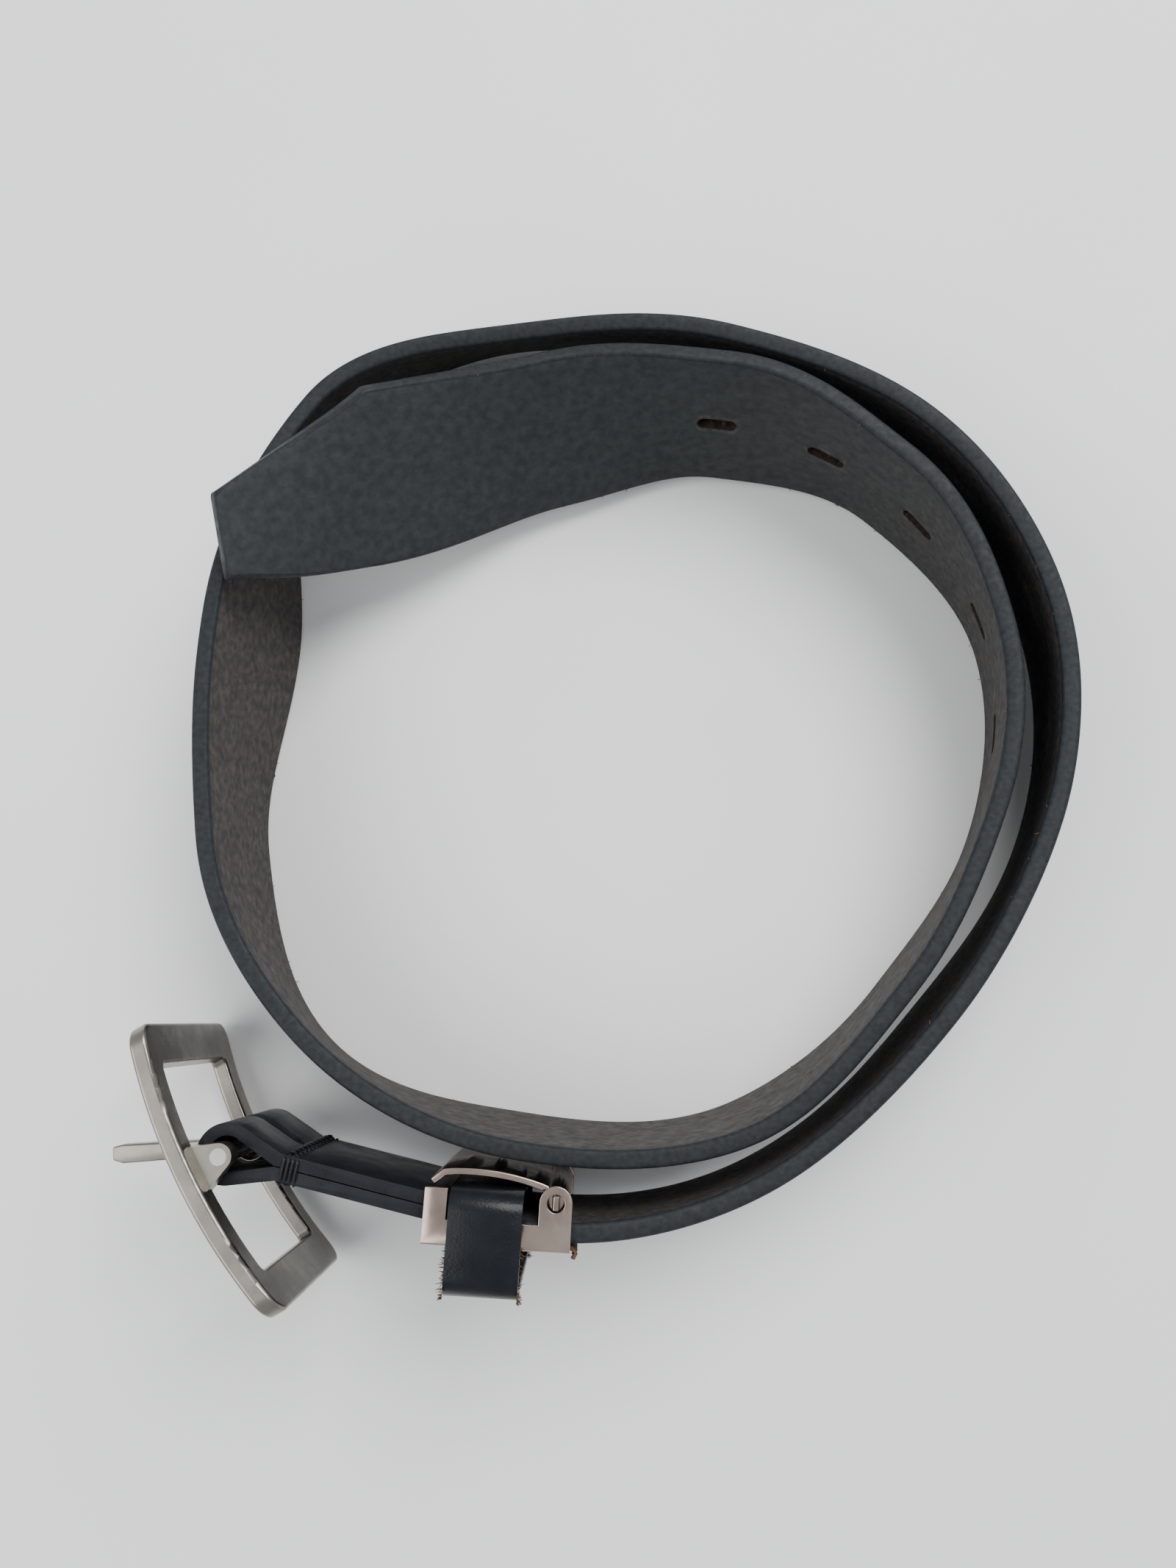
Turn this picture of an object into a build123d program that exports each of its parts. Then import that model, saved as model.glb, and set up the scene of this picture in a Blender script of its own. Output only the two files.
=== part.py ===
from build123d import *
import math
import os

# Gentleman's leather belt, coiled up and standing on the edge of its strap.
# Millimetres, +Z up. The origin is under the middle of the whole object, on the surface it rests on.

# ---- strap -------------------------------------------------------------------------------
STRAP_W = 38.0
STRAP_T = 3.6
# The strap stands on its edge and goes round a centre in a little over two laps. Its mid-line is set by
# the distance from that centre at every COIL_STEP of bearing, starting beside the clamp. Each entry is that
# radius, the lean in degrees (positive: upper edge leans out) and how far the lower edge is lifted.
COIL_CENTRE = (4.7, 5.8)
COIL_START = -75
COIL_STEP = 30
OUTER_LAP = [
    (92.5, -5, 2.5), (84.0, -5, 0.5), (86.0, -10, 0.0), (90.0, -10, 0.0),
    (89.5, -10, 0.0), (88.0, -15, 0.1), (93.5, -25, 0.2), (99.0, -15, 0.2),
    (85.0, 10, 0.2), (87.5, 0, 0.1), (92.0, -10, 0.0), (85.5, 0, 0.0),
]
INNER_LAP = [
    (82.5, 0, 0.0), (75.0, -5, 0.0), (75.5, -10, 0.0), (79.0, -10, 0.0),
    (77.0, 0, 0.5), (72.0, 15, 2.0), (68.5, 30, 4.0), (76.0, 45, 14.0),
]
TIP_BEARING = 152          # the tip lies back over the outer lap, nearly flat
TIP_PLACE = (93.5, 70, 38.0)
TIP_SLANT = 34.0           # length of the long slanting cut at the tip, along the strap
TIP_CORNER = 2.0           # the short lower cut
HOLE_COUNT = 5
HOLE_PITCH = 25.4
FIRST_HOLE = 111.0         # from the point of the tip
HOLE_LENGTH = 8.5
HOLE_WIDTH = 3.0
SECTION_STEP = 12.0        # spacing of the cross-sections that the strap is built through

# ---- hardware frame: the buckle's centre bar, a little off upright --------------------------
BAR_POINT = (-71.3, -77.7, 26.3)
BAR_LEAN = (0.04, 0.06, 1.0)
BAR_R = 1.5
RUNNING_GAP = 0.06

# ---- buckle --------------------------------------------------------------------------------
FRAME_TURN = -60.3         # direction of the frame's length about the bar
FRAME_L = 57.0
FRAME_H = 50.5
FRAME_T = 3.4
FRAME_RISE = 3.6           # how far the arched frame bows forward
FRAME_FRONT = 7.7          # front of the arch, ahead of the bar's axis
FRAME_SHIFT = 0.6          # the bar is this much off the middle of the frame
FRAME_END_W = 7.6          # width of the two end members
FRAME_SIDE_W = 5.9         # width of the two long arched members
FRAME_CORNER = 4.0
FRAME_INNER_CORNER = 1.5
EDGE_ROUND = 0.7
LUG_H = 4.2
LUG_BASE = 9.6
LUG_R = 2.4
LUG_OVERLAP = 1.0          # how far each lug stands over the opening's edge
PRONG_TURN = 184.3
PRONG_L = 27.0
PRONG_T = 3.2
PRONG_BARREL_R = 3.0
PRONG_H = 3.4
PRONG_NECK = 6.0           # where the barrel has narrowed to the tongue
PRONG_TIP = 2.0            # length of the blunt taper at its end
PRONG_TIP_T = 1.0
PRONG_FRONT_TAPER = 0.4
PRONG_BACK_TAPER = 0.2

# ---- chape: short folded leather that holds the bar ------------------------------------------
CHAPE_TURN = -13.7
CHAPE_W = 35.0
LEAF_T = 2.3
LEAF_GAP = 0.2
EYE_R = 3.3
EYE_LENGTH = 10.0          # bar axis to where the two leaves close
EYE_BLEND = 1.0            # the eye runs this far into the closed leaves
CHAPE_MID = 0.2            # middle of the two leaves inside the clamp, in the clamp's frame
CHAPE_INTO = 3.5           # how far past the clamp's middle the chape reaches
CHAPE_BEND_R = 40.0
SLOT_H = 5.0
SLOT_REACH = 7.5
STITCH_AT = 11.8
STITCH_COUNT = 11
STITCH_T = 0.55
STITCH_L = 2.4

# ---- clamp and keeper ------------------------------------------------------------------------
CLAMP_AT = (50.0, -10.6)
CLAMP_TURN = -3.5
CLAMP_LEAN = -3.8          # lean of the strap inside the clamp, as the hardware frame leans
CLAMP_L = 26.5
SHEET = 0.9
CLAMP_EDGE_ROUND = 0.6
CHANNEL_DEEP = 20.0        # the channel is open this far towards the coil
CHANNEL_H = 38.6           # between the two flanges
PLATE_OUTER = -5.6
TAB_W = 4.2
TAB_TOP = 4.4
LOW_TOP = -1.0
EAR_W = 6.0
PIVOT = (10.6, 2.85)
PIVOT_HOLE_R = 1.6
STRAP_MID = -2.3           # strap's mid-line inside the clamp
STRAP_START = 4.2
STRAP_EXIT = 14.0
LINER_T = 0.5
LINER_SHORT = 1.0
RIVET_R = 1.2
RIVET_HEAD_R = 2.4
RIVET_HEAD_T = 0.5
RIVET_AT = -3.0
RIVET_SPREAD = 9.0
LEVER_T = 1.2
LEVER_H = 36.0
LEVER_HUB_R = 2.6
LEVER_TOE = (-12.2, 5.1)    # the lever's profile in the clamp: bent toe, heel of the toe, crown, shoulder
LEVER_HEEL = (-10.2, 6.9)
LEVER_CROWN = (-1.0, 7.0)
LEVER_SHOULDER = (8.6, 5.1)
TOOTH_COUNT = 3
TOOTH_W = 0.9
TOOTH_SINK = 0.4           # the teeth stand this far inside the hub's rim
TOOTH_FIRST = -120
TOOTH_SPAN = 60
TRUNNION_T = 1.1
TRUNNION_W = 2.6
KEEPER_W = 13.4
KEEPER_X = -8.6
KEEPER_T = 1.6
KEEPER_IN = 4.8
KEEPER_OUT = -14.2
KEEPER_GAP = 0.1
KEEPER_R = 4.0
STAPLE_W = 6.0
STAPLE_T = 0.5
STAPLE_BAR = 0.8

HARDWARE = Plane(origin=BAR_POINT, x_dir=(1, 0, -BAR_LEAN[0]), z_dir=BAR_LEAN)


def turned_plane(x, y, turn):
    """A plane of the hardware frame, moved to x, y and turned about the bar's direction."""
    return Plane(HARDWARE.location * Location((x, y, 0), (0, 0, turn)))


FRAME = turned_plane(0, 0, FRAME_TURN)
CHAPE = turned_plane(0, 0, CHAPE_TURN)
PRONG = turned_plane(0, 0, PRONG_TURN)
CLAMP = turned_plane(CLAMP_AT[0], CLAMP_AT[1], CLAMP_TURN)


# ---- strap -------------------------------------------------------------------------------
def coil_point(bearing, radius, lean, lift):
    """The strap's mid-line at a bearing: as high as half its width, leaning, holds it off the ground."""
    tilt = math.radians(lean)
    height = STRAP_W / 2 * math.cos(tilt) + STRAP_T / 2 * abs(math.sin(tilt)) + lift
    turn = math.radians(bearing)
    across_x = radius * math.cos(turn)
    across_y = radius * math.sin(turn)
    return Vector(COIL_CENTRE[0] + across_x, COIL_CENTRE[1] + across_y, height)


lay_points = [CLAMP.from_local_coords(Vector(x, STRAP_MID, 0)) for x in (STRAP_START, STRAP_EXIT)]
lay_leans = [CLAMP_LEAN, CLAMP_LEAN]
for index, (radius, lean, lift) in enumerate(OUTER_LAP + INNER_LAP):
    lay_points.append(coil_point(COIL_START + COIL_STEP * index, radius, lean, lift))
    lay_leans.append(lean)
lay_points.append(coil_point(TIP_BEARING, *TIP_PLACE))
lay_leans.append(TIP_PLACE[1])
with BuildLine():
    strap_path = Spline(*lay_points)
strap_length = strap_path.length
reaches = [0.0]
for before, after in zip(lay_points, lay_points[1:]):
    reaches.append(reaches[-1] + (after - before).length)


def lean_at(distance):
    """Lean of the strap at a distance along the mid-line, eased between the listed places."""
    reach = distance / strap_length * reaches[-1]
    index = max(i for i in range(len(reaches) - 1) if reaches[i] <= reach + 0.001)
    place = (reach - reaches[index]) / (reaches[index + 1] - reaches[index])
    ease = (1 - math.cos(math.pi * place)) / 2
    return lay_leans[index] + ease * (lay_leans[index + 1] - lay_leans[index])


def strap_plane(distance):
    """Cross-section plane of the strap: x runs up its width, y points out of the coil."""
    along = strap_path.tangent_at(distance / strap_length)
    out = Vector(along.Y, -along.X, 0).normalized()
    up = out.cross(along)
    lean = math.radians(lean_at(distance))
    return Plane(
        origin=strap_path.position_at(distance / strap_length),
        x_dir=up * math.cos(lean) + out * math.sin(lean),
        z_dir=along,
    )


body_end = strap_length - TIP_SLANT
section_count = round(body_end / SECTION_STEP)
with BuildPart() as strap:
    for index in range(section_count + 1):
        with BuildSketch(strap_plane(body_end * index / section_count)):
            Rectangle(STRAP_W, STRAP_T)
    loft(ruled=True)
    for cut in (0.0, 0.5, 1.0):
        top = STRAP_W / 2 * (1 - cut)
        bottom = -STRAP_W / 2 + (TIP_CORNER if cut == 1.0 else 0.0)
        with BuildSketch(strap_plane(body_end + TIP_SLANT * cut)):
            with Locations(((top + bottom) / 2, 0)):
                Rectangle(top - bottom, STRAP_T)
    loft(ruled=True)
    for index in range(HOLE_COUNT):
        section = strap_plane(strap_length - FIRST_HOLE - index * HOLE_PITCH)
        with BuildSketch(Plane(section.origin, x_dir=section.z_dir, z_dir=section.y_dir)):
            SlotOverall(HOLE_LENGTH, HOLE_WIDTH)
        extrude(amount=STRAP_T, both=True, mode=Mode.SUBTRACT)


# ---- buckle frame: arched rectangle with a lug behind each long member -------------------------
half = FRAME_L / 2
front_face = Plane(FRAME.location * Location((FRAME_SHIFT, 0, 0), (90, 0, 0)))
with BuildPart() as buckle_frame:
    with BuildSketch(FRAME.offset(-FRAME_H / 2)):
        with BuildLine():
            left, right = FRAME_SHIFT - half, FRAME_SHIFT + half
            end_front = FRAME_RISE - FRAME_FRONT
            front = ThreePointArc((left, end_front), (FRAME_SHIFT, -FRAME_FRONT), (right, end_front))
            back = ThreePointArc(
                (left, end_front + FRAME_T),
                (FRAME_SHIFT, FRAME_T - FRAME_FRONT),
                (right, end_front + FRAME_T),
            )
            Line(front @ 0, back @ 0)
            Line(front @ 1, back @ 1)
        make_face()
    extrude(amount=FRAME_H)
    with BuildSketch(front_face):
        RectangleRounded(FRAME_L, FRAME_H, FRAME_CORNER)
        RectangleRounded(
            FRAME_L - 2 * FRAME_END_W,
            FRAME_H - 2 * FRAME_SIDE_W,
            FRAME_INNER_CORNER,
            mode=Mode.SUBTRACT,
        )
    extrude(amount=FRAME_FRONT + FRAME_T, mode=Mode.INTERSECT)
    fillet(buckle_frame.edges().filter_by(GeomType.LINE, reverse=True), EDGE_ROUND)
    lug_foot = FRAME_T / 2 - FRAME_FRONT
    lug_low = FRAME_H / 2 - FRAME_SIDE_W - LUG_OVERLAP
    for side in (-1, 1):
        with BuildSketch(FRAME.offset(side * lug_low)):
            Circle(LUG_R)
            with Locations((0, lug_foot)):
                Rectangle(LUG_BASE, FRAME_T / 3)
            make_hull()
            Circle(BAR_R, mode=Mode.SUBTRACT)
        extrude(amount=side * LUG_H)


# ---- centre bar -------------------------------------------------------------------------------
bar_half = lug_low + LUG_H
with BuildPart() as centre_bar:
    with BuildSketch(FRAME.offset(-bar_half)):
        Circle(BAR_R)
    extrude(amount=2 * bar_half)


# ---- prong: barrel round the bar and a tapering tongue ------------------------------------------
with BuildPart() as prong:
    with BuildSketch(PRONG.offset(-PRONG_H / 2)):
        Circle(PRONG_BARREL_R)
        with BuildLine():
            shoulder = PRONG_BARREL_R * 0.9
            Polyline(
                (0, -shoulder),
                (PRONG_NECK, -PRONG_T / 2),
                (PRONG_L - PRONG_TIP, PRONG_FRONT_TAPER - PRONG_T / 2),
                (PRONG_L, -PRONG_TIP_T / 2),
                (PRONG_L, PRONG_TIP_T / 2),
                (PRONG_L - PRONG_TIP, PRONG_T / 2 - PRONG_BACK_TAPER),
                (PRONG_NECK, PRONG_T / 2),
                (0, shoulder),
                close=True,
            )
        make_face()
        Circle(BAR_R + RUNNING_GAP, mode=Mode.SUBTRACT)
    extrude(amount=PRONG_H)


# ---- chape: two leaves round the bar, open between them only at the eye --------------------------
chape_half = LEAF_T + LEAF_GAP / 2
chape_top = CHAPE_MID + chape_half
chape_end = CHAPE.to_local_coords(CLAMP.from_local_coords(Vector(CHAPE_INTO, CHAPE_MID, 0)))
chape_bend = chape_end.X - chape_end.Y / math.tan(math.radians(CLAMP_TURN - CHAPE_TURN))


def across(plane, x):
    """A plane square to the strap's run, at x: its own x points into the coil, its y up."""
    return Plane(plane.from_local_coords(Vector(x, 0, 0)), x_dir=plane.y_dir, z_dir=plane.x_dir)


def facing(plane, y):
    """A plane in the strap's face, at y: its own x runs along the strap, its y up."""
    return Plane(plane.from_local_coords(Vector(0, y, 0)), x_dir=plane.x_dir, z_dir=-plane.y_dir)


with BuildPart() as chape:
    with BuildSketch(CHAPE.offset(-CHAPE_W / 2)):
        Circle(EYE_R + LEAF_T)
        with Locations((EYE_LENGTH - EYE_BLEND / 2, 0)):
            Rectangle(EYE_BLEND, 2 * chape_half)
        make_hull()
        with BuildLine():
            chape_start = (EYE_LENGTH - EYE_BLEND, 0)
            FilletPolyline(chape_start, (chape_bend, 0), (chape_end.X, chape_end.Y), radius=CHAPE_BEND_R)
        trace(line_width=2 * chape_half)
    extrude(amount=CHAPE_W)
    with BuildSketch(CHAPE.offset(-CHAPE_W / 2)):
        Circle(EYE_R)
        with Locations(chape_start):
            Circle(LEAF_GAP / 2)
        make_hull()
        with BuildLine():
            gap_start = (EYE_LENGTH - 2 * EYE_BLEND, 0)
            FilletPolyline(gap_start, (chape_bend, 0), (chape_end.X, chape_end.Y), radius=CHAPE_BEND_R)
        trace(line_width=LEAF_GAP)
    extrude(amount=CHAPE_W, mode=Mode.SUBTRACT)
    with BuildSketch(facing(CHAPE, 0)):
        SlotCenterToCenter(2 * SLOT_REACH, SLOT_H)
    extrude(amount=2 * EYE_R, both=True, mode=Mode.SUBTRACT)
    with BuildSketch(facing(CLAMP, chape_top + EYE_BLEND)):
        with Locations((RIVET_AT, -RIVET_SPREAD), (RIVET_AT, RIVET_SPREAD)):
            Circle(RIVET_R)
    extrude(amount=4 * LEAF_T, mode=Mode.SUBTRACT)


# ---- stitches that close the eye: one row of short threads on each face ---------------------------
with BuildPart() as chape_stitching:
    for face_y in (chape_half, -chape_half - STITCH_T):
        with BuildSketch(Plane(CHAPE.from_local_coords(Vector(0, face_y, 0)),
                               x_dir=CHAPE.x_dir, z_dir=CHAPE.y_dir)):
            with Locations((STITCH_AT, 0)):
                with GridLocations(0, CHAPE_W / STITCH_COUNT, 1, STITCH_COUNT):
                    Rectangle(STITCH_L, 2 * STITCH_T)
        extrude(amount=STITCH_T)


# ---- clamp body: sheet channel with a tab at one end and two ears for the lever --------------------
with BuildPart() as clamp_body:
    channel_half = CHANNEL_H / 2
    with BuildSketch(CLAMP.offset(-channel_half - SHEET)):
        with BuildLine():
            end = CLAMP_L / 2
            ear_left = PIVOT[0] - EAR_W / 2
            ear_right = PIVOT[0] + EAR_W / 2
            Polyline(
                (ear_left, PIVOT[1]),
                (ear_left, LOW_TOP),
                (TAB_W - end, LOW_TOP),
                (TAB_W - end, TAB_TOP),
                (-end, TAB_TOP),
                (-end, PLATE_OUTER),
                (ear_right, PLATE_OUTER),
                (ear_right, PIVOT[1]),
            )
            ThreePointArc(
                (ear_left, PIVOT[1]), (PIVOT[0], PIVOT[1] + EAR_W / 2), (ear_right, PIVOT[1])
            )
        make_face()
        with Locations(PIVOT):
            Circle(PIVOT_HOLE_R, mode=Mode.SUBTRACT)
    extrude(amount=CHANNEL_H + 2 * SHEET)
    with BuildSketch(across(CLAMP, 0)):
        with Locations((PLATE_OUTER + SHEET + CHANNEL_DEEP / 2, 0)):
            Rectangle(CHANNEL_DEEP, CHANNEL_H)
    extrude(amount=CLAMP_L, both=True, mode=Mode.SUBTRACT)
    with BuildSketch(facing(CLAMP, PLATE_OUTER + 2 * SHEET)):
        with Locations((RIVET_AT, -RIVET_SPREAD), (RIVET_AT, RIVET_SPREAD)):
            Circle(RIVET_R)
    extrude(amount=3 * SHEET, mode=Mode.SUBTRACT)
    outer_edges = clamp_body.edges().filter_by(
        lambda edge: edge.length > TAB_W + EAR_W
        and abs(CLAMP.to_local_coords(edge.center()).Y - PLATE_OUTER) < 0.01
        and abs(abs(CLAMP.to_local_coords(edge.center()).Z) - channel_half - SHEET) < 0.01
    )
    fillet(outer_edges, CLAMP_EDGE_ROUND)


# ---- suede liner on the inside of the clamp's plate --------------------------------------------
with BuildPart() as clamp_liner:
    with BuildSketch(facing(CLAMP, PLATE_OUTER + SHEET + LINER_T)):
        Rectangle(CLAMP_L, CHANNEL_H - LINER_SHORT)
        with Locations((RIVET_AT, -RIVET_SPREAD), (RIVET_AT, RIVET_SPREAD)):
            Circle(RIVET_R, mode=Mode.SUBTRACT)
    extrude(amount=LINER_T)


# ---- rivets that hold the chape in the clamp ----------------------------------------------------
with BuildPart() as chape_rivets:
    with BuildSketch(facing(CLAMP, chape_top)):
        with Locations((RIVET_AT, -RIVET_SPREAD), (RIVET_AT, RIVET_SPREAD)):
            Circle(RIVET_R)
    extrude(amount=chape_top - PLATE_OUTER)
    with BuildSketch(facing(CLAMP, chape_top + RIVET_HEAD_T)):
        with Locations((RIVET_AT, -RIVET_SPREAD), (RIVET_AT, RIVET_SPREAD)):
            Circle(RIVET_HEAD_R)
    extrude(amount=RIVET_HEAD_T)


# ---- clamp lever: bowed plate, toothed hub and two flat trunnions -----------------------------------
with BuildPart() as clamp_lever:
    with BuildSketch(CLAMP.offset(-LEVER_H / 2)):
        with BuildLine():
            toe = Line(LEVER_TOE, LEVER_HEEL)
            plate = ThreePointArc(toe @ 1, LEVER_CROWN, LEVER_SHOULDER)
            Line(plate @ 1, PIVOT)
        trace(line_width=LEVER_T)
        with Locations(PIVOT):
            Circle(LEVER_HUB_R)
            with PolarLocations(
                LEVER_HUB_R - TOOTH_SINK,
                TOOTH_COUNT,
                start_angle=TOOTH_FIRST,
                angular_range=TOOTH_SPAN,
                endpoint=True,
            ):
                Rectangle(TOOTH_W, TOOTH_W, rotation=45)
    extrude(amount=LEVER_H)
    with BuildSketch(CLAMP.offset(-channel_half - SHEET)):
        with Locations(PIVOT):
            Rectangle(TRUNNION_T, TRUNNION_W)
    extrude(amount=CHANNEL_H + 2 * SHEET)


# ---- keeper: leather band round the clamp, standing off its plate, closed by a staple -----------------
with BuildPart() as keeper_loop:
    keeper_tall = CHANNEL_H + 2 * (SHEET + KEEPER_GAP + KEEPER_T)
    keeper_deep = KEEPER_IN - KEEPER_OUT
    with BuildSketch(across(CLAMP, KEEPER_X)):
        with Locations(((KEEPER_IN + KEEPER_OUT) / 2, 0)):
            RectangleRounded(keeper_deep, keeper_tall, KEEPER_R)
            RectangleRounded(
                keeper_deep - 2 * KEEPER_T,
                keeper_tall - 2 * KEEPER_T,
                KEEPER_R - KEEPER_T,
                mode=Mode.SUBTRACT,
            )
    extrude(amount=KEEPER_W)
    with BuildSketch(facing(CLAMP, KEEPER_IN)):
        with Locations((KEEPER_X + KEEPER_W / 2, 0)):
            with GridLocations(STAPLE_W - STAPLE_T, 0, 2, 1):
                Rectangle(STAPLE_T, STAPLE_BAR)
    extrude(amount=KEEPER_T, mode=Mode.SUBTRACT)


# ---- staple that closes the keeper's band, crown against the chape ---------------------------------
with BuildPart() as keeper_staple:
    with BuildSketch(facing(CLAMP, KEEPER_IN)):
        with Locations((KEEPER_X + KEEPER_W / 2, 0)):
            with GridLocations(STAPLE_W - STAPLE_T, 0, 2, 1):
                Rectangle(STAPLE_T, STAPLE_BAR)
    extrude(amount=KEEPER_T)
    with BuildSketch(facing(CLAMP, KEEPER_IN - KEEPER_T)):
        with Locations((KEEPER_X + KEEPER_W / 2, 0)):
            Rectangle(STAPLE_W, STAPLE_BAR)
    extrude(amount=STAPLE_T)


os.makedirs("parts", exist_ok=True)
for name, piece in {
    "strap": strap,
    "chape": chape,
    "chape_stitching": chape_stitching,
    "buckle_frame": buckle_frame,
    "centre_bar": centre_bar,
    "prong": prong,
    "clamp_body": clamp_body,
    "clamp_liner": clamp_liner,
    "chape_rivets": chape_rivets,
    "clamp_lever": clamp_lever,
    "keeper_loop": keeper_loop,
    "keeper_staple": keeper_staple,
}.items():
    piece.part.label = name
    export_step(piece.part, f"parts/{name}.step")
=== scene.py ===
import math
import random

import bmesh
import bpy
import numpy as np
from mathutils import Matrix, Vector


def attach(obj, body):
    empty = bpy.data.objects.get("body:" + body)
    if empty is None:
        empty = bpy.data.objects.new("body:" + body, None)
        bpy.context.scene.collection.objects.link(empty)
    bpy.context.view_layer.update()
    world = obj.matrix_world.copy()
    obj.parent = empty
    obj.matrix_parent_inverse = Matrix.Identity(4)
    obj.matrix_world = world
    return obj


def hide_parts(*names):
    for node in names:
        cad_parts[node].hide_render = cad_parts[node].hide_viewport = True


# Coiled leather belt. Metres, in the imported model's frame; lengths are written in millimetres times MM.
MM = 0.001
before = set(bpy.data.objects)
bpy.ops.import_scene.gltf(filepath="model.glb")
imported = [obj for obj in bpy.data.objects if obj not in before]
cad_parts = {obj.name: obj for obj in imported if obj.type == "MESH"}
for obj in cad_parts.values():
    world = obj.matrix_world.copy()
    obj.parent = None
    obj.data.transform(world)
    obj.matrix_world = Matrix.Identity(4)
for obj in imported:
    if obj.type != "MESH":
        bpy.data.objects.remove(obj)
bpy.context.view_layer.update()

# ---- the belt's own dimensions -----------------------------------------------------------------
STRAP_W = 38.0 * MM
STRAP_T = 3.6 * MM
STRAP_ROUND = 0.9 * MM
COIL_CENTRE = (4.7 * MM, 5.8 * MM)
COIL_START = -75
COIL_STEP = 30
# radius of the mid-line in mm, lean in degrees, lift of the lower edge in mm
OUTER_LAP = [
    (92.5, -5, 2.5), (84.0, -5, 0.5), (86.0, -10, 0.0), (90.0, -10, 0.0),
    (89.5, -10, 0.0), (88.0, -15, 0.1), (93.5, -25, 0.2), (99.0, -15, 0.2),
    (85.0, 10, 0.2), (87.5, 0, 0.1), (92.0, -10, 0.0), (85.5, 0, 0.0),
]
INNER_LAP = [
    (82.5, 0, 0.0), (75.0, -5, 0.0), (75.5, -10, 0.0), (79.0, -10, 0.0),
    (77.0, 0, 0.5), (72.0, 15, 2.0), (68.5, 30, 4.0), (76.0, 45, 14.0),
]
TIP_BEARING = 152
TIP_PLACE = (93.5, 70, 38.0)
TIP_SLANT = 34.0 * MM
TIP_CORNER = 2.0 * MM
HOLE_COUNT = 5
HOLE_PITCH = 25.4 * MM
FIRST_HOLE = 111.0 * MM
HOLE_LENGTH = 8.5 * MM
HOLE_WIDTH = 3.0 * MM

BAR_POINT = Vector((-71.3, -77.7, 26.3)) * MM
BAR_LEAN = Vector((0.04, 0.06, 1.0)).normalized()
CHAPE_TURN = -13.7
CLAMP_AT = (50.0 * MM, -10.6 * MM)
CLAMP_TURN = -3.5
CLAMP_LEAN = -3.8
STRAP_MID = -2.3 * MM
STRAP_ENDS = (4.2 * MM, 14.0 * MM)
CHAPE_W = 35.0 * MM
CHAPE_HALF = 2.4 * MM
STITCH_AT = 11.8 * MM
STITCH_COUNT = 11
THREAD_R = 0.32 * MM
KEEPER_LEFT = -8.6 * MM
KEEPER_W = 13.4 * MM
KEEPER_OUT = -14.2 * MM
KEEPER_TALL = 43.8 * MM
SLOT_FIBRE_COUNT = 16
EDGE_FIBRE_COUNT = 70
KEEPER_FIBRE_COUNT = 120
TIP_LEAST = 1.2 * MM
PRONG_TURN = 184.3
PRONG_L = 27.0 * MM
PRONG_BLUNT = 2.5 * MM
PRONG_END_ZONE = 0.5 * MM
PRONG_SWELL_HALF = 1.8 * MM
PRONG_END_HALF = 1.25 * MM
PRONG_END_BEND = 0.4 * MM


# ---- frames ------------------------------------------------------------------------------------
def hardware_frame():
    """The buckle bar's frame: z along the bar, a little off upright."""
    x = Vector((1, 0, -0.04)).normalized()
    y = BAR_LEAN.cross(x)
    return Matrix.Translation(BAR_POINT) @ Matrix((x, y, BAR_LEAN)).transposed().to_4x4()


def turned(x, y, turn):
    """The hardware frame moved to x, y and turned about the bar's direction."""
    return hardware_frame() @ Matrix.Translation((x, y, 0)) @ Matrix.Rotation(math.radians(turn), 4, "Z")


CHAPE = turned(0, 0, CHAPE_TURN)
CLAMP = turned(CLAMP_AT[0], CLAMP_AT[1], CLAMP_TURN)
PRONG = turned(0, 0, PRONG_TURN)


# ---- mesh helpers ------------------------------------------------------------------------------
def add_piece(name, mesh, body, materials, replaced=()):
    """A finished piece: smooth-shaded, riding on its body, with its finish."""
    piece = bpy.data.objects.new(name, mesh)
    bpy.context.scene.collection.objects.link(piece)
    for material in materials:
        mesh.materials.append(material)
    mesh.polygons.foreach_set("use_smooth", [True] * len(mesh.polygons))
    mesh.update()
    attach(piece, body)
    if replaced:
        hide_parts(*replaced)
    return piece


def applied(piece):
    """The piece's mesh with its modifiers applied, and the modifiers taken off."""
    graph = bpy.context.evaluated_depsgraph_get()
    mesh = bpy.data.meshes.new_from_object(piece.evaluated_get(graph))
    piece.modifiers.clear()
    piece.data = mesh
    return piece


def blunt_prong(point):
    """The prong's end swells, and is blunt and turned up a little; the rest of it stays."""
    place = PRONG.inverted() @ point
    if place.x > PRONG_L - PRONG_END_ZONE:
        place.y = math.copysign(PRONG_END_HALF, place.y) - PRONG_END_BEND
    elif place.x > PRONG_L - PRONG_BLUNT:
        place.y = math.copysign(PRONG_SWELL_HALF, place.y) - PRONG_END_BEND / 2
    return PRONG @ place


def softened(node, name, body, material, width, reshape=None):
    """A copy of a CAD node with its sharp edges rounded, standing for the node."""
    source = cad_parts[node].data.copy()
    source.materials.clear()
    form = bmesh.new()
    form.from_mesh(source)
    bmesh.ops.remove_doubles(form, verts=form.verts, dist=0.002 * MM)
    bmesh.ops.dissolve_limit(form, angle_limit=math.radians(1.0), verts=form.verts, edges=form.edges)
    if reshape:
        for vertex in form.verts:
            vertex.co = reshape(vertex.co)
    form.to_mesh(source)
    form.free()
    piece = add_piece(name, source, body, [material], [node])
    bevel = piece.modifiers.new("edges", "BEVEL")
    bevel.width = width
    bevel.segments = 3
    bevel.limit_method = "ANGLE"
    bevel.angle_limit = math.radians(38)
    bevel.harden_normals = True
    return applied(piece)


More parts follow.
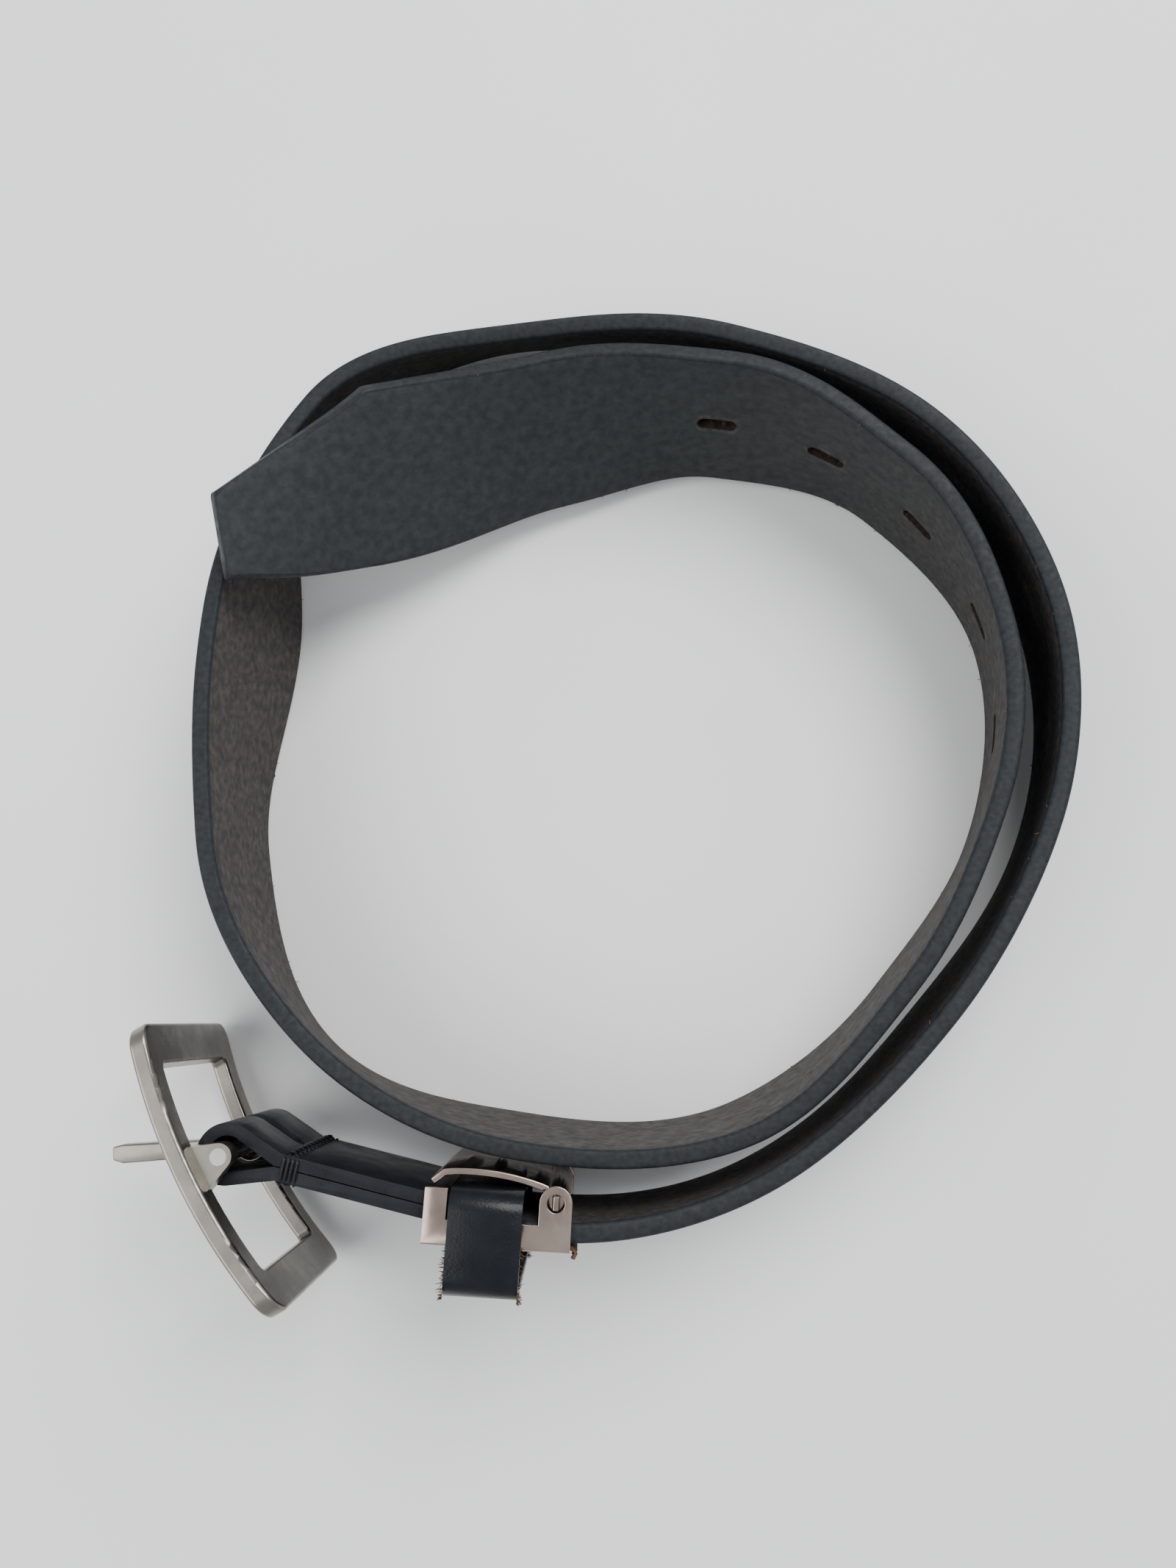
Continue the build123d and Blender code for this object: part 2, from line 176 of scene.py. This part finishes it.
def tube(form, points, radius, sides=8):
    """A round thread along the points, closed at both ends."""
    rings = []
    for index, point in enumerate(points):
        ahead = points[min(index + 1, len(points) - 1)]
        behind = points[max(index - 1, 0)]
        along = (ahead - behind).normalized()
        across = along.orthogonal().normalized()
        other = along.cross(across)
        size = radius if 0 < index < len(points) - 1 else radius * 0.55
        ring = []
        for step in range(sides):
            turn = 2 * math.pi * step / sides
            ring.append(form.verts.new(point + (across * math.cos(turn) + other * math.sin(turn)) * size))
        rings.append(ring)
    for low, high in zip(rings, rings[1:]):
        for step in range(sides):
            following = (step + 1) % sides
            form.faces.new((low[step], low[following], high[following], high[step]))
    form.faces.new(rings[0][::-1])
    form.faces.new(rings[-1])


def fibre(form, root, way, length, rng):
    """One loose leather fibre: a thin strand that bends away as it goes."""
    drift = Vector((rng.uniform(-1, 1), rng.uniform(-1, 1), rng.uniform(-0.4, 0.8))) * 0.5
    points = []
    for step in range(4):
        part = step / 3
        points.append(root + (way * part + drift * part * part) * length)
    tube(form, points, rng.uniform(0.05, 0.10) * MM, sides=4)


def mesh_of(form, name):
    """The bmesh as a mesh with its faces turned outward."""
    mesh = bpy.data.meshes.new(name)
    bmesh.ops.recalc_face_normals(form, faces=form.faces)
    form.to_mesh(mesh)
    form.free()
    return mesh


def finished(form, name, body, material, replaced=()):
    """Turns a bmesh into a piece."""
    return add_piece(name, mesh_of(form, name), body, [material], replaced)


# ---- material helpers --------------------------------------------------------------------------
class Shade:
    """A small builder for node materials."""

    def __init__(self, name, roughness=0.5, metallic=0.0, specular=0.5):
        self.material = bpy.data.materials.new(name)
        self.material.use_nodes = True
        self.nodes = self.material.node_tree.nodes
        self.links = self.material.node_tree.links
        self.shader = self.nodes["Principled BSDF"]
        self.shader.inputs["Roughness"].default_value = roughness
        self.shader.inputs["Metallic"].default_value = metallic
        self.shader.inputs["Specular IOR Level"].default_value = specular
        self.place = self.nodes.new("ShaderNodeTexCoord").outputs["Object"]

    def stretched(self, scale):
        mapping = self.nodes.new("ShaderNodeMapping")
        mapping.inputs["Scale"].default_value = scale
        self.links.new(self.place, mapping.inputs["Vector"])
        return mapping.outputs["Vector"]

    def noise(self, scale, detail=4.0, vector=None):
        node = self.nodes.new("ShaderNodeTexNoise")
        node.inputs["Scale"].default_value = scale
        node.inputs["Detail"].default_value = detail
        self.links.new(vector or self.place, node.inputs["Vector"])
        return node.outputs["Fac"]

    def cells(self, scale):
        node = self.nodes.new("ShaderNodeTexVoronoi")
        node.feature = "DISTANCE_TO_EDGE"
        node.inputs["Scale"].default_value = scale
        wobble = self.nodes.new("ShaderNodeTexNoise")
        wobble.inputs["Scale"].default_value = scale * 0.6
        self.links.new(self.place, wobble.inputs["Vector"])
        mix = self.nodes.new("ShaderNodeVectorMath")
        mix.operation = "MULTIPLY_ADD"
        mix.inputs[1].default_value = (0.5 / scale,) * 3
        self.links.new(wobble.outputs["Color"], mix.inputs[0])
        self.links.new(self.place, mix.inputs[2])
        self.links.new(mix.outputs["Vector"], node.inputs["Vector"])
        return node.outputs["Distance"]

    def ramp(self, value, *stops):
        node = self.nodes.new("ShaderNodeValToRGB")
        spots = node.color_ramp.elements
        while len(spots) < len(stops):
            spots.new(0.5)
        for spot, (place, colour) in zip(spots, stops):
            spot.position = place
            spot.color = (*colour, 1) if len(colour) == 3 else (colour[0],) * 3 + (1,)
        self.links.new(value, node.inputs["Fac"])
        return node.outputs["Color"]

    def mix(self, factor, low, high):
        node = self.nodes.new("ShaderNodeMix")
        node.data_type = "RGBA"
        self.links.new(factor, node.inputs[0])
        self.links.new(low, node.inputs[6])
        self.links.new(high, node.inputs[7])
        return node.outputs[2]

    def attribute(self, name):
        node = self.nodes.new("ShaderNodeAttribute")
        node.attribute_name = name
        return node.outputs["Fac"]

    def colour(self, value):
        self.links.new(value, self.shader.inputs["Base Color"])

    def rough(self, value, low, high):
        node = self.nodes.new("ShaderNodeMapRange")
        node.inputs["To Min"].default_value = low
        node.inputs["To Max"].default_value = high
        node.inputs["From Min"].default_value = 0.3
        node.inputs["From Max"].default_value = 0.7
        self.links.new(value, node.inputs["Value"])
        self.links.new(node.outputs["Result"], self.shader.inputs["Roughness"])

    def bumps(self, *layers):
        """Each layer is a height, a strength and a depth in metres; they are stacked."""
        normal = None
        for height, strength, depth in layers:
            node = self.nodes.new("ShaderNodeBump")
            node.inputs["Strength"].default_value = strength
            node.inputs["Distance"].default_value = depth
            self.links.new(height, node.inputs["Height"])
            if normal:
                self.links.new(normal, node.inputs["Normal"])
            normal = node.outputs["Normal"]
        self.links.new(normal, self.shader.inputs["Normal"])


def smooth_leather(name, dark, light, low, high, crease):
    """Finished grain leather: fine pores, soft creases, uneven polish."""
    shade = Shade(name, specular=0.22)
    tone = shade.noise(240, 6)
    shade.colour(shade.ramp(tone, (0.3, dark), (0.75, light)))
    shade.rough(shade.noise(140, 3), low, high)
    shade.bumps(
        (shade.noise(160, 6), crease, 0.35 * MM),
        (shade.cells(1300), 0.35, 0.10 * MM),
        (shade.noise(3200, 2), 0.25, 0.05 * MM),
    )
    return shade.material


def flesh_leather():
    """The strap's inner face: matt brownish mottling that gives way to dark wrinkled grain at the tip."""
    shade = Shade("strap_flesh", specular=0.15)
    brown = shade.ramp(shade.noise(650, 8), (0.32, (0.030, 0.028, 0.028)), (0.50, (0.047, 0.043, 0.041)),
                       (0.68, (0.070, 0.061, 0.055)))
    tip = shade.ramp(shade.noise(520, 7), (0.35, (0.024, 0.027, 0.028)), (0.7, (0.037, 0.041, 0.042)))
    nearness = shade.ramp(shade.attribute("reach"), (0.76, (0.0,)), (0.88, (1.0,)))
    shade.colour(shade.mix(nearness, brown, tip))
    shade.rough(shade.noise(400, 4), 0.62, 0.85)
    shade.bumps(
        (shade.noise(420, 8), 0.55, 0.30 * MM),
        (shade.cells(700), 0.40, 0.14 * MM),
        (shade.noise(3800, 3), 0.40, 0.06 * MM),
    )
    return shade.material


def painted_edge():
    """Charcoal edge paint, a little rubbed."""
    shade = Shade("strap_edge", specular=0.18)
    shade.colour(shade.ramp(shade.noise(900, 7), (0.30, (0.012, 0.014, 0.016)),
                            (0.72, (0.023, 0.026, 0.029))))
    shade.rough(shade.noise(700, 3), 0.48, 0.66)
    shade.bumps((shade.noise(900, 6), 0.45, 0.12 * MM), (shade.noise(4200, 2), 0.25, 0.04 * MM))
    return shade.material


def nickel(name, dull, bright, low, high, brushing):
    """Plated metal with fine brushing, handling marks and small dents."""
    shade = Shade(name, metallic=1.0)
    shade.colour(shade.ramp(shade.noise(90, 5), (0.3, dull), (0.7, bright)))
    shade.rough(shade.noise(260, 6), low, high)
    shade.bumps(
        (shade.noise(900, 3, shade.stretched((1.0, 1.0, 0.06))), brushing, 0.03 * MM),
        (shade.noise(180, 2), 0.10, 0.12 * MM),
    )
    return shade.material


def fibrous(name, dark, light, roughness):
    """Raw leather fibre or waxed thread."""
    shade = Shade(name, roughness=roughness, specular=0.25)
    shade.colour(shade.ramp(shade.noise(900, 6), (0.3, dark), (0.7, light)))
    shade.bumps((shade.noise(2600, 6), 0.7, 0.12 * MM), (shade.noise(600, 3), 0.3, 0.2 * MM))
    return shade.material


grain = smooth_leather("strap_grain", (0.005, 0.006, 0.008), (0.010, 0.012, 0.015), 0.36, 0.52, 0.30)
chape_skin = smooth_leather("chape_skin", (0.006, 0.007, 0.009), (0.012, 0.014, 0.018), 0.32, 0.48, 0.45)
keeper_skin = smooth_leather("keeper_skin", (0.003, 0.004, 0.006), (0.007, 0.009, 0.012), 0.24, 0.38, 0.35)
flesh = flesh_leather()
edge_paint = painted_edge()
satin = nickel("satin_nickel", (0.19, 0.178, 0.158), (0.31, 0.288, 0.252), 0.24, 0.36, 0.25)
polished = nickel("polished_nickel", (0.30, 0.235, 0.195), (0.52, 0.43, 0.36), 0.12, 0.24, 0.12)
steel = nickel("plain_steel", (0.42, 0.41, 0.39), (0.55, 0.54, 0.52), 0.22, 0.36, 0.20)
thread = fibrous("waxed_thread", (0.004, 0.005, 0.007), (0.014, 0.016, 0.020), 0.45)
raw_fibre = fibrous("raw_fibre", (0.045, 0.026, 0.016), (0.150, 0.095, 0.062), 0.9)
slot_wall = fibrous("slot_wall", (0.012, 0.010, 0.009), (0.040, 0.028, 0.021), 0.9)
suede = fibrous("liner_suede", (0.050, 0.028, 0.018), (0.130, 0.078, 0.048), 0.9)


# ---- strap -------------------------------------------------------------------------------------
def coil_point(bearing, radius, lean, lift):
    """The strap's mid-line at a bearing: as high as half its width, leaning, holds it off the floor."""
    tilt = math.radians(lean)
    turn = math.radians(bearing)
    height = STRAP_W / 2 * math.cos(tilt) + STRAP_T / 2 * abs(math.sin(tilt)) + lift * MM
    reach = radius * MM
    x, y = COIL_CENTRE
    return Vector((x + reach * math.cos(turn), y + reach * math.sin(turn), height))


class StrapPath:
    """A smooth curve through the coil's places, measured along its length."""

    FINE = 6000

    def __init__(self):
        places = [CLAMP @ Vector((x, STRAP_MID, 0)) for x in STRAP_ENDS]
        self.leans = [CLAMP_LEAN, CLAMP_LEAN]
        for index, (radius, lean, lift) in enumerate(OUTER_LAP + INNER_LAP):
            places.append(coil_point(COIL_START + COIL_STEP * index, radius, lean, lift))
            self.leans.append(lean)
        places.append(coil_point(TIP_BEARING, *TIP_PLACE))
        self.leans.append(TIP_PLACE[1])
        self.places = np.array(places)
        spans = np.linalg.norm(np.diff(self.places, axis=0), axis=1)
        self.knots = np.concatenate([[0.0], np.cumsum(spans)])
        self.curve = self.bends(spans)
        self.fine = np.linspace(0.0, self.knots[-1], self.FINE)
        line = np.array([self.at(value) for value in self.fine])
        steps = np.linalg.norm(np.diff(line, axis=0), axis=1)
        self.travelled = np.concatenate([[0.0], np.cumsum(steps)])
        self.length = float(self.travelled[-1])

    def bends(self, spans):
        """Second derivatives of the cubic spline, free at both ends."""
        count = len(self.places)
        system = np.eye(count)
        target = np.zeros((count, 3))
        for index in range(1, count - 1):
            before, after = spans[index - 1], spans[index]
            system[index, index - 1:index + 2] = before, 2 * (before + after), after
            rise = (self.places[index + 1] - self.places[index]) / after
            fall = (self.places[index] - self.places[index - 1]) / before
            target[index] = 6 * (rise - fall)
        return np.linalg.solve(system, target)

    def at(self, value):
        index = int(np.clip(np.searchsorted(self.knots, value, "right") - 1, 0, len(self.knots) - 2))
        span = self.knots[index + 1] - self.knots[index]
        late = (value - self.knots[index]) / span
        early = 1 - late
        pull = (early ** 3 - early) * self.curve[index] + (late ** 3 - late) * self.curve[index + 1]
        return early * self.places[index] + late * self.places[index + 1] + pull * span * span / 6

    def lean_at(self, distance):
        """Lean at a distance along the strap, eased between the listed places."""
        reach = distance / self.length * self.knots[-1]
        index = int(np.clip(np.searchsorted(self.knots, reach + 1e-6, "right") - 1, 0, len(self.knots) - 2))
        place = (reach - self.knots[index]) / (self.knots[index + 1] - self.knots[index])
        ease = (1 - math.cos(math.pi * place)) / 2
        return self.leans[index] + ease * (self.leans[index + 1] - self.leans[index])

    def section(self, distance):
        """Middle, width direction, outward direction and run of the strap at a distance."""
        value = float(np.interp(distance, self.travelled, self.fine))
        small = self.knots[-1] / self.FINE
        behind = self.at(max(value - small, 0.0))
        ahead = self.at(min(value + small, self.knots[-1]))
        along = Vector(ahead - behind).normalized()
        out = Vector((along.y, -along.x, 0)).normalized()
        up = out.cross(along)
        lean = math.radians(self.lean_at(distance))
        wide = up * math.cos(lean) + out * math.sin(lean)
        return Vector(self.at(value)), wide, wide.cross(-along), along


path = StrapPath()
SECTION_GAP = 1.6 * MM
FACE_STEPS = 14
GRAIN_FACE, FLESH_FACE, EDGE_FACE = 0, 1, 2


def strap_outline(bottom, top):
    """Rounded-corner outline as (along the width, through the thickness, which surface follows)."""
    half = STRAP_T / 2
    curve = min(STRAP_ROUND, (top - bottom) / 3)
    flat = top - bottom - 2 * curve
    outline = []

    def corner(turns, end, side):
        """Points round one corner: end is 1 at the top edge, side is 1 on the grain face."""
        base = top if end > 0 else bottom
        for turn in turns:
            angle = math.radians(turn)
            across = base - end * curve + end * curve * math.sin(angle)
            depth = side * (half - curve + curve * math.cos(angle))
            outline.append((across, depth, EDGE_FACE))

    for step in range(FACE_STEPS + 1):
        outline.append((bottom + curve + flat * step / FACE_STEPS, half, GRAIN_FACE))
    corner((30, 60, 90), 1, 1)
    corner((90, 60, 30), 1, -1)
    for step in range(FACE_STEPS + 1):
        outline.append((top - curve - flat * step / FACE_STEPS, -half, FLESH_FACE))
    corner((30, 60, 90), -1, -1)
    corner((90, 60, 30), -1, 1)
    return outline


def make_strap():
    form = bmesh.new()
    reach_layer = form.verts.layers.float.new("reach")
    count = round(path.length / SECTION_GAP)
    rings = []
    kinds = []
    for index in range(count + 1):
        distance = path.length * index / count
        middle, wide, out, along = path.section(distance)
        cut = max(0.0, (distance - (path.length - TIP_SLANT)) / TIP_SLANT)
        top = STRAP_W / 2 * (1 - cut)
        bottom = -STRAP_W / 2 + TIP_CORNER * cut
        wander = 0.10 * MM * (math.sin(distance * 61) + math.sin(distance * 143 + 1.0))
        ring = []
        outline = strap_outline(bottom, max(top, bottom + TIP_LEAST))
        kinds = [kind for across, depth, kind in outline]
        for across, depth, kind in outline:
            vertex = form.verts.new(middle + wide * across + out * (depth + wander * across / STRAP_W))
            vertex[reach_layer] = distance / path.length
            ring.append(vertex)
        rings.append(ring)
    size = len(kinds)
    for low, high in zip(rings, rings[1:]):
        for step in range(size):
            following = (step + 1) % size
            face = form.faces.new((low[step], high[step], high[following], low[following]))
            same = kinds[step] == kinds[following]
            face.material_index = kinds[step] if same else EDGE_FACE
    for ring in (rings[0][::-1], rings[-1]):
        form.faces.new(ring).material_index = EDGE_FACE
    mesh = mesh_of(form, "strap_leather")
    skins = [grain, flesh, edge_paint]
    return add_piece("strap_leather", mesh, "belt", skins, ["strap"])


def slot_cutters():
    """The five slots as one cutting mesh."""
    form = bmesh.new()
    for index in range(HOLE_COUNT):
        middle, wide, out, along = path.section(path.length - FIRST_HOLE - index * HOLE_PITCH)
        straight = (HOLE_LENGTH - HOLE_WIDTH) / 2
        sides = []
        for depth in (-STRAP_T, STRAP_T):
            ring = []
            for step in range(32):
                turn = 2 * math.pi * step / 32
                run = HOLE_WIDTH / 2 * math.cos(turn) + math.copysign(straight, math.cos(turn))
                rise = HOLE_WIDTH / 2 * math.sin(turn)
                ring.append(form.verts.new(middle + along * run + wide * rise + out * depth))
            sides.append(ring)
        for step in range(32):
            following = (step + 1) % 32
            form.faces.new((sides[0][step], sides[0][following], sides[1][following], sides[1][step]))
        form.faces.new(sides[0][::-1])
        form.faces.new(sides[1])
    mesh = mesh_of(form, "slots")
    mesh.materials.append(slot_wall)
    return bpy.data.objects.new("slots", mesh)


def punch_slots(strap):
    cutter = slot_cutters()
    bpy.context.scene.collection.objects.link(cutter)
    cut = strap.modifiers.new("slots", "BOOLEAN")
    cut.operation = "DIFFERENCE"
    cut.object = cutter
    cut.solver = "EXACT"
    cut.material_mode = "TRANSFER"
    applied(strap)
    bpy.data.objects.remove(cutter)


def slot_fibres():
    """Torn fibres round the slots."""
    rng = random.Random(7)
    form = bmesh.new()
    for index in range(HOLE_COUNT):
        middle, wide, out, along = path.section(path.length - FIRST_HOLE - index * HOLE_PITCH)
        for _ in range(SLOT_FIBRE_COUNT):
            turn = rng.uniform(0, 2 * math.pi)
            run = HOLE_WIDTH / 2 * math.cos(turn) + rng.uniform(-1, 1) * (HOLE_LENGTH - HOLE_WIDTH) / 2
            rise = HOLE_WIDTH / 2 * math.sin(turn)
            root = middle + along * run + wide * rise + out * rng.uniform(-0.5, 0.3) * STRAP_T
            way = (-wide * math.sin(turn) - out * 0.8).normalized()
            fibre(form, root, way, rng.uniform(0.3, 0.9) * MM, rng)
    return finished(form, "slot_fibres", "belt", raw_fibre)


def edge_fibres():
    """A few loose fibres along the strap's edges."""
    rng = random.Random(11)
    form = bmesh.new()
    for _ in range(EDGE_FIBRE_COUNT):
        middle, wide, out, along = path.section(rng.uniform(0.03, 0.97) * (path.length - TIP_SLANT))
        side = rng.choice((-1, 1))
        root = middle + wide * side * (STRAP_W / 2 - 0.5 * MM) - out * STRAP_T * 0.46
        way = (along * rng.uniform(-1, 1) - out * 0.4).normalized()
        fibre(form, root, way, rng.uniform(0.3, 0.8) * MM, rng)
    return finished(form, "edge_fibres", "belt", raw_fibre)


strap = make_strap()
punch_slots(strap)
slot_fibres()
edge_fibres()


# ---- chape, keeper and their details ---------------------------------------------------------------
def make_stitches():
    """The row that closes the eye: slanting stitches on both faces, wrapped over both edges."""
    form = bmesh.new()
    pitch = CHAPE_W / STITCH_COUNT
    for side in (-1, 1):
        for index in range(STITCH_COUNT):
            height = (index - (STITCH_COUNT - 1) / 2) * pitch
            points = []
            for step in range(9):
                part = step / 8
                run = STITCH_AT + (part - 0.5) * 2.2 * MM
                rise = height + (part - 0.5) * 1.5 * MM
                proud = CHAPE_HALF + THREAD_R * (2.2 * math.sin(math.pi * part) - 0.5)
                points.append(CHAPE @ Vector((run, side * proud, rise)))
            tube(form, points, THREAD_R)
    edge = CHAPE_W / 2 + THREAD_R * 0.6
    for end in (-1, 1):
        for index in range(4):
            run = STITCH_AT + (index - 1.5) * 0.85 * MM
            points = []
            for step in range(13):
                turn = math.pi * step / 12
                points.append(CHAPE @ Vector((
                    run + 0.5 * MM * step / 12,
                    (CHAPE_HALF + THREAD_R * 0.4) * math.cos(turn),
                    end * (edge - 1.6 * MM + 1.8 * MM * math.sin(turn) ** 0.5),
                )))
            tube(form, points, THREAD_R)
    return finished(form, "whip_stitches", "belt", thread, ["chape_stitching"])


def keeper_fibres():
    """Frayed fibres on both cut sides of the keeper, thickest at its outer end."""
    rng = random.Random(23)
    form = bmesh.new()
    for side, left in ((-1, KEEPER_LEFT), (1, KEEPER_LEFT + KEEPER_W)):
        for _ in range(KEEPER_FIBRE_COUNT):
            depth = KEEPER_OUT + rng.uniform(0.1, 1.0) ** 2 * 9.0 * MM
            end = rng.choice((-1, 1))
            height = end * (KEEPER_TALL / 2 - rng.uniform(0.3, 1.4) * MM)
            root = CLAMP @ Vector((left - side * 0.1 * MM, depth, height))
            spread = Vector((side, rng.uniform(-0.6, 0.2), rng.uniform(-0.5, 0.5)))
            way = CLAMP.to_3x3() @ spread.normalized()
            fibre(form, root, way, rng.uniform(0.3, 1.1) * MM, rng)
    return finished(form, "keeper_fibres", "belt", raw_fibre)


def liner_curl():
    """The liner's raw end, curled out past the clamp's right edge."""
    form = bmesh.new()
    rows = []
    for step in range(13):
        part = step / 12
        turn = 2.4 * part
        run = 13.2 * MM + 1.7 * MM * math.sin(turn)
        depth = -4.6 * MM - 1.3 * MM * (1 - math.cos(turn))
        row = []
        for cell in range(25):
            across = cell / 24
            ragged = 0.25 * MM * math.sin(cell * 2.7 + step) * part
            height = (across - 0.5) * 37.0 * MM
            row.append(form.verts.new(CLAMP @ Vector((run + ragged, depth + ragged * 0.6, height))))
        rows.append(row)
    for low, high in zip(rows, rows[1:]):
        for cell in range(24):
            form.faces.new((low[cell], low[cell + 1], high[cell + 1], high[cell]))
    piece = finished(form, "liner_curl", "belt", suede)
    thick = piece.modifiers.new("thickness", "SOLIDIFY")
    thick.thickness = 0.5 * MM
    return applied(piece)


softened("chape", "chape_leather", "belt", chape_skin, 0.35 * MM)
softened("keeper_loop", "keeper_leather", "belt", keeper_skin, 0.30 * MM)
make_stitches()
keeper_fibres()
liner_curl()

# ---- metal ------------------------------------------------------------------------------------------
softened("prong", "prong_rounded", "prong", satin, 0.75 * MM, blunt_prong)
softened("clamp_body", "clamp_shell", "belt", polished, 0.18 * MM)
softened("clamp_lever", "lever_plate", "lever", polished, 0.22 * MM)
for node, material in (
    ("buckle_frame", satin),
    ("centre_bar", steel),
    ("chape_rivets", steel),
    ("keeper_staple", steel),
    ("clamp_liner", suede),
):
    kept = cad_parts[node]
    kept.data.materials.clear()
    kept.data.materials.append(material)


# ---- floor, light and camera ----------------------------------------------------------------------------
def make_floor():
    shade = Shade("pale_cloth", roughness=0.9, specular=0.2)
    shade.colour(shade.ramp(shade.noise(9, 3), (0.3, (0.84, 0.84, 0.83)), (0.7, (0.89, 0.89, 0.88))))
    shade.bumps((shade.noise(1500, 2), 0.12, 0.1 * MM))
    form = bmesh.new()
    bmesh.ops.create_grid(form, x_segments=1, y_segments=1, size=1.5)
    mesh = bpy.data.meshes.new("floor")
    form.to_mesh(mesh)
    form.free()
    mesh.materials.append(shade.material)
    floor = bpy.data.objects.new("floor", mesh)
    floor.location.z = -0.1 * MM
    bpy.context.scene.collection.objects.link(floor)


def area_light(name, place, target, size, watts):
    lamp = bpy.data.lights.new(name, "AREA")
    lamp.shape = "DISK"
    lamp.size = size
    lamp.energy = watts
    holder = bpy.data.objects.new(name, lamp)
    holder.location = place
    holder.rotation_euler = (Vector(target) - Vector(place)).to_track_quat("-Z", "Y").to_euler()
    bpy.context.scene.collection.objects.link(holder)


CAMERA_LENS = 27.04
CAMERA_PLACE = (0.0042, -0.0392, 0.265)
CAMERA_RIGHT = Vector((0.9993, 0.0, -0.0371))
CAMERA_UP = Vector((0.0051, 0.9904, 0.1381))


def make_camera():
    lens = bpy.data.cameras.new("camera")
    lens.lens = CAMERA_LENS
    lens.sensor_width = 36
    lens.sensor_fit = "AUTO"
    lens.clip_start = 0.01
    camera = bpy.data.objects.new("camera", lens)
    back = CAMERA_RIGHT.cross(CAMERA_UP)
    turn = Matrix((CAMERA_RIGHT, CAMERA_UP, back)).transposed().to_4x4()
    camera.matrix_world = Matrix.Translation(CAMERA_PLACE) @ turn
    bpy.context.scene.collection.objects.link(camera)
    bpy.context.scene.camera = camera


make_floor()
make_camera()
area_light("key", (0.30, 0.45, 0.75), (0, 0, 0), 0.60, 9.0)
area_light("fill", (-0.55, -0.20, 0.60), (0, 0, 0), 0.70, 4.0)
world = bpy.data.worlds.new("studio")
bpy.context.scene.world = world
world.use_nodes = True
world.node_tree.nodes["Background"].inputs["Color"].default_value = (0.93, 0.95, 1.0, 1)
world.node_tree.nodes["Background"].inputs["Strength"].default_value = 0.75
